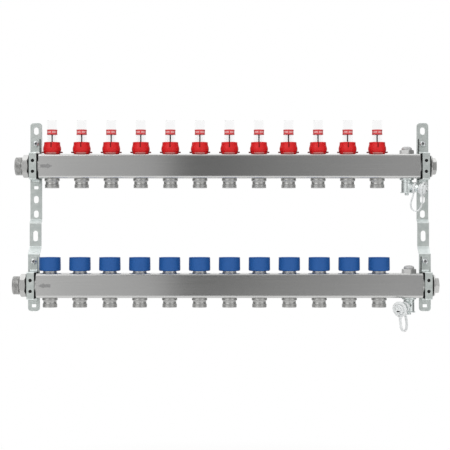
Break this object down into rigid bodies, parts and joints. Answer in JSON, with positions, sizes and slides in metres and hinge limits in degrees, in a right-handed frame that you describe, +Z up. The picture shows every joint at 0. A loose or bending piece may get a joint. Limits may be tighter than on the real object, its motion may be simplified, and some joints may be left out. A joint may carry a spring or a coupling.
{
  "type": "underfloor heating manifold",
  "caption": "Underfloor heating manifold: a supply bar with flow meters above a return bar with regulating caps, with drain cocks and air vents, clamped to two wall brackets.",
  "frame": {"origin": "on the wall plane, midway between the two brackets and midway between the two bar axes", "axes": "+X along the bars from the main connections to the end plugs, +Y into the wall, +Z up"},
  "size_m": [0.7819, 0.0929, 0.3897],
  "materials": {
    "bar_steel": "brushed stainless steel",
    "zinc": "bright zinc plated steel",
    "nickel": "nickel plated brass",
    "rubber": "matt black",
    "red_plastic": "satin red",
    "blue_plastic": "satin blue",
    "dark_plastic": "matt dark grey",
    "white_plastic": "milky white"
  },
  "bodies": {
    "manifold": {"supply_bar": "bar_steel", "return_bar": "bar_steel", "bracket_left": "zinc", "bracket_right": "zinc", "clamp_liner_supply_left": "rubber", "clamp_liner_supply_right": "rubber", "clamp_liner_return_left": "rubber", "clamp_liner_return_right": "rubber", "clamp_strap_supply_left": "zinc", "clamp_strap_supply_right": "zinc", "clamp_strap_return_left": "zinc", "clamp_strap_return_right": "zinc", "inlet_union_supply": "nickel", "inlet_union_return": "nickel", "end_plug_supply": "nickel", "end_plug_return": "nickel"},
    "flow_meter_01": {"flow_meter_01": "red_plastic"},
    "flow_meter_02": {"flow_meter_02": "red_plastic"},
    "flow_meter_03": {"flow_meter_03": "red_plastic"},
    "flow_meter_04": {"flow_meter_04": "red_plastic"},
    "flow_meter_05": {"flow_meter_05": "red_plastic"},
    "flow_meter_06": {"flow_meter_06": "red_plastic"},
    "flow_meter_07": {"flow_meter_07": "red_plastic"},
    "flow_meter_08": {"flow_meter_08": "red_plastic"},
    "flow_meter_09": {"flow_meter_09": "red_plastic"},
    "flow_meter_10": {"flow_meter_10": "red_plastic"},
    "flow_meter_11": {"flow_meter_11": "red_plastic"},
    "flow_meter_12": {"flow_meter_12": "red_plastic"},
    "flow_indicator_01": {"flow_indicator_01": "dark_plastic"},
    "flow_indicator_02": {"flow_indicator_02": "dark_plastic"},
    "flow_indicator_03": {"flow_indicator_03": "dark_plastic"},
    "flow_indicator_04": {"flow_indicator_04": "dark_plastic"},
    "flow_indicator_05": {"flow_indicator_05": "dark_plastic"},
    "flow_indicator_06": {"flow_indicator_06": "dark_plastic"},
    "flow_indicator_07": {"flow_indicator_07": "dark_plastic"},
    "flow_indicator_08": {"flow_indicator_08": "dark_plastic"},
    "flow_indicator_09": {"flow_indicator_09": "dark_plastic"},
    "flow_indicator_10": {"flow_indicator_10": "dark_plastic"},
    "flow_indicator_11": {"flow_indicator_11": "dark_plastic"},
    "flow_indicator_12": {"flow_indicator_12": "dark_plastic"},
    "return_cap_01": {"return_cap_01": "blue_plastic"},
    "return_cap_02": {"return_cap_02": "blue_plastic"},
    "return_cap_03": {"return_cap_03": "blue_plastic"},
    "return_cap_04": {"return_cap_04": "blue_plastic"},
    "return_cap_05": {"return_cap_05": "blue_plastic"},
    "return_cap_06": {"return_cap_06": "blue_plastic"},
    "return_cap_07": {"return_cap_07": "blue_plastic"},
    "return_cap_08": {"return_cap_08": "blue_plastic"},
    "return_cap_09": {"return_cap_09": "blue_plastic"},
    "return_cap_10": {"return_cap_10": "blue_plastic"},
    "return_cap_11": {"return_cap_11": "blue_plastic"},
    "return_cap_12": {"return_cap_12": "blue_plastic"},
    "air_vent_supply": {"air_vent_supply": "nickel"},
    "drain_cock_supply": {"drain_cock_supply": "nickel", "drain_tether_supply": "white_plastic"},
    "drain_cap_supply": {"drain_cap_supply": "white_plastic"},
    "air_vent_return": {"air_vent_return": "nickel"},
    "drain_cock_return": {"drain_cock_return": "nickel", "drain_tether_return": "white_plastic"},
    "drain_cap_return": {"drain_cap_return": "white_plastic"}
  },
  "joints": [
    {"name": "flow_setting_01", "type": "hinge", "parent": "manifold", "child": "flow_meter_01", "pos_m": [-0.33, -0.026, 0.1374], "axis": [0, 0, 1], "range_deg": [-900, 0]},
    {"name": "flow_setting_02", "type": "hinge", "parent": "manifold", "child": "flow_meter_02", "pos_m": [-0.275, -0.026, 0.1374], "axis": [0, 0, 1], "range_deg": [-900, 0]},
    {"name": "flow_setting_03", "type": "hinge", "parent": "manifold", "child": "flow_meter_03", "pos_m": [-0.22, -0.026, 0.1374], "axis": [0, 0, 1], "range_deg": [-900, 0]},
    {"name": "flow_setting_04", "type": "hinge", "parent": "manifold", "child": "flow_meter_04", "pos_m": [-0.165, -0.026, 0.1374], "axis": [0, 0, 1], "range_deg": [-900, 0]},
    {"name": "flow_setting_05", "type": "hinge", "parent": "manifold", "child": "flow_meter_05", "pos_m": [-0.11, -0.026, 0.1374], "axis": [0, 0, 1], "range_deg": [-900, 0]},
    {"name": "flow_setting_06", "type": "hinge", "parent": "manifold", "child": "flow_meter_06", "pos_m": [-0.055, -0.026, 0.1374], "axis": [0, 0, 1], "range_deg": [-900, 0]},
    {"name": "flow_setting_07", "type": "hinge", "parent": "manifold", "child": "flow_meter_07", "pos_m": [0, -0.026, 0.1374], "axis": [0, 0, 1], "range_deg": [-900, 0]},
    {"name": "flow_setting_08", "type": "hinge", "parent": "manifold", "child": "flow_meter_08", "pos_m": [0.055, -0.026, 0.1374], "axis": [0, 0, 1], "range_deg": [-900, 0]},
    {"name": "flow_setting_09", "type": "hinge", "parent": "manifold", "child": "flow_meter_09", "pos_m": [0.11, -0.026, 0.1374], "axis": [0, 0, 1], "range_deg": [-900, 0]},
    {"name": "flow_setting_10", "type": "hinge", "parent": "manifold", "child": "flow_meter_10", "pos_m": [0.165, -0.026, 0.1374], "axis": [0, 0, 1], "range_deg": [-900, 0]},
    {"name": "flow_setting_11", "type": "hinge", "parent": "manifold", "child": "flow_meter_11", "pos_m": [0.22, -0.026, 0.1374], "axis": [0, 0, 1], "range_deg": [-900, 0]},
    {"name": "flow_setting_12", "type": "hinge", "parent": "manifold", "child": "flow_meter_12", "pos_m": [0.275, -0.026, 0.1374], "axis": [0, 0, 1], "range_deg": [-900, 0]},
    {"name": "flow_reading_01", "type": "slide", "parent": "manifold", "child": "flow_indicator_01", "axis": [0, 0, 1], "range_m": [-0.012, 0], "stiffness_N_per_m": 12, "springref_m": 0.004},
    {"name": "flow_reading_02", "type": "slide", "parent": "manifold", "child": "flow_indicator_02", "axis": [0, 0, 1], "range_m": [-0.012, 0], "stiffness_N_per_m": 12, "springref_m": 0.004},
    {"name": "flow_reading_03", "type": "slide", "parent": "manifold", "child": "flow_indicator_03", "axis": [0, 0, 1], "range_m": [-0.012, 0], "stiffness_N_per_m": 12, "springref_m": 0.004},
    {"name": "flow_reading_04", "type": "slide", "parent": "manifold", "child": "flow_indicator_04", "axis": [0, 0, 1], "range_m": [-0.012, 0], "stiffness_N_per_m": 12, "springref_m": 0.004},
    {"name": "flow_reading_05", "type": "slide", "parent": "manifold", "child": "flow_indicator_05", "axis": [0, 0, 1], "range_m": [-0.012, 0], "stiffness_N_per_m": 12, "springref_m": 0.004},
    {"name": "flow_reading_06", "type": "slide", "parent": "manifold", "child": "flow_indicator_06", "axis": [0, 0, 1], "range_m": [-0.012, 0], "stiffness_N_per_m": 12, "springref_m": 0.004},
    {"name": "flow_reading_07", "type": "slide", "parent": "manifold", "child": "flow_indicator_07", "axis": [0, 0, 1], "range_m": [-0.012, 0], "stiffness_N_per_m": 12, "springref_m": 0.004},
    {"name": "flow_reading_08", "type": "slide", "parent": "manifold", "child": "flow_indicator_08", "axis": [0, 0, 1], "range_m": [-0.012, 0], "stiffness_N_per_m": 12, "springref_m": 0.004},
    {"name": "flow_reading_09", "type": "slide", "parent": "manifold", "child": "flow_indicator_09", "axis": [0, 0, 1], "range_m": [-0.012, 0], "stiffness_N_per_m": 12, "springref_m": 0.004},
    {"name": "flow_reading_10", "type": "slide", "parent": "manifold", "child": "flow_indicator_10", "axis": [0, 0, 1], "range_m": [-0.012, 0], "stiffness_N_per_m": 12, "springref_m": 0.004},
    {"name": "flow_reading_11", "type": "slide", "parent": "manifold", "child": "flow_indicator_11", "axis": [0, 0, 1], "range_m": [-0.012, 0], "stiffness_N_per_m": 12, "springref_m": 0.004},
    {"name": "flow_reading_12", "type": "slide", "parent": "manifold", "child": "flow_indicator_12", "axis": [0, 0, 1], "range_m": [-0.012, 0], "stiffness_N_per_m": 12, "springref_m": 0.004},
    {"name": "return_setting_01", "type": "hinge", "parent": "manifold", "child": "return_cap_01", "pos_m": [-0.33, -0.056, -0.0832], "axis": [0, 0, 1], "range_deg": [-900, 0]},
    {"name": "return_setting_02", "type": "hinge", "parent": "manifold", "child": "return_cap_02", "pos_m": [-0.275, -0.056, -0.0832], "axis": [0, 0, 1], "range_deg": [-900, 0]},
    {"name": "return_setting_03", "type": "hinge", "parent": "manifold", "child": "return_cap_03", "pos_m": [-0.22, -0.056, -0.0832], "axis": [0, 0, 1], "range_deg": [-900, 0]},
    {"name": "return_setting_04", "type": "hinge", "parent": "manifold", "child": "return_cap_04", "pos_m": [-0.165, -0.056, -0.0832], "axis": [0, 0, 1], "range_deg": [-900, 0]},
    {"name": "return_setting_05", "type": "hinge", "parent": "manifold", "child": "return_cap_05", "pos_m": [-0.11, -0.056, -0.0832], "axis": [0, 0, 1], "range_deg": [-900, 0]},
    {"name": "return_setting_06", "type": "hinge", "parent": "manifold", "child": "return_cap_06", "pos_m": [-0.055, -0.056, -0.0832], "axis": [0, 0, 1], "range_deg": [-900, 0]},
    {"name": "return_setting_07", "type": "hinge", "parent": "manifold", "child": "return_cap_07", "pos_m": [0, -0.056, -0.0832], "axis": [0, 0, 1], "range_deg": [-900, 0]},
    {"name": "return_setting_08", "type": "hinge", "parent": "manifold", "child": "return_cap_08", "pos_m": [0.055, -0.056, -0.0832], "axis": [0, 0, 1], "range_deg": [-900, 0]},
    {"name": "return_setting_09", "type": "hinge", "parent": "manifold", "child": "return_cap_09", "pos_m": [0.11, -0.056, -0.0832], "axis": [0, 0, 1], "range_deg": [-900, 0]},
    {"name": "return_setting_10", "type": "hinge", "parent": "manifold", "child": "return_cap_10", "pos_m": [0.165, -0.056, -0.0832], "axis": [0, 0, 1], "range_deg": [-900, 0]},
    {"name": "return_setting_11", "type": "hinge", "parent": "manifold", "child": "return_cap_11", "pos_m": [0.22, -0.056, -0.0832], "axis": [0, 0, 1], "range_deg": [-900, 0]},
    {"name": "return_setting_12", "type": "hinge", "parent": "manifold", "child": "return_cap_12", "pos_m": [0.275, -0.056, -0.0832], "axis": [0, 0, 1], "range_deg": [-900, 0]},
    {"name": "air_vent_turn_supply", "type": "hinge", "parent": "manifold", "child": "air_vent_supply", "pos_m": [0.33, -0.026, 0.1403], "axis": [0, 0, 1], "range_deg": [0, 540]},
    {"name": "drain_swivel_supply", "type": "hinge", "parent": "manifold", "child": "drain_cock_supply", "pos_m": [0.33, -0.026, 0.0875], "axis": [0, 0, 1], "range_deg": [-152, 28]},
    {"name": "drain_cap_turn_supply", "type": "hinge", "parent": "drain_cock_supply", "child": "drain_cap_supply", "pos_m": [0.35591, -0.03978, 0.06826], "axis": [0.8637, -0.4592, -0.2079], "range_deg": [0, 1080]},
    {"name": "air_vent_turn_return", "type": "hinge", "parent": "manifold", "child": "air_vent_return", "pos_m": [0.33, -0.056, -0.0797], "axis": [0, 0, 1], "range_deg": [0, 540]},
    {"name": "drain_swivel_return", "type": "hinge", "parent": "manifold", "child": "drain_cock_return", "pos_m": [0.33, -0.056, -0.1325], "axis": [0, 0, 1], "range_deg": [-52, 128]},
    {"name": "drain_cap_turn_return", "type": "hinge", "parent": "drain_cock_return", "child": "drain_cap_return", "pos_m": [0.31193, -0.07912, -0.15174], "axis": [-0.6022, -0.7708, -0.2079], "range_deg": [0, 1080]}
  ]
}
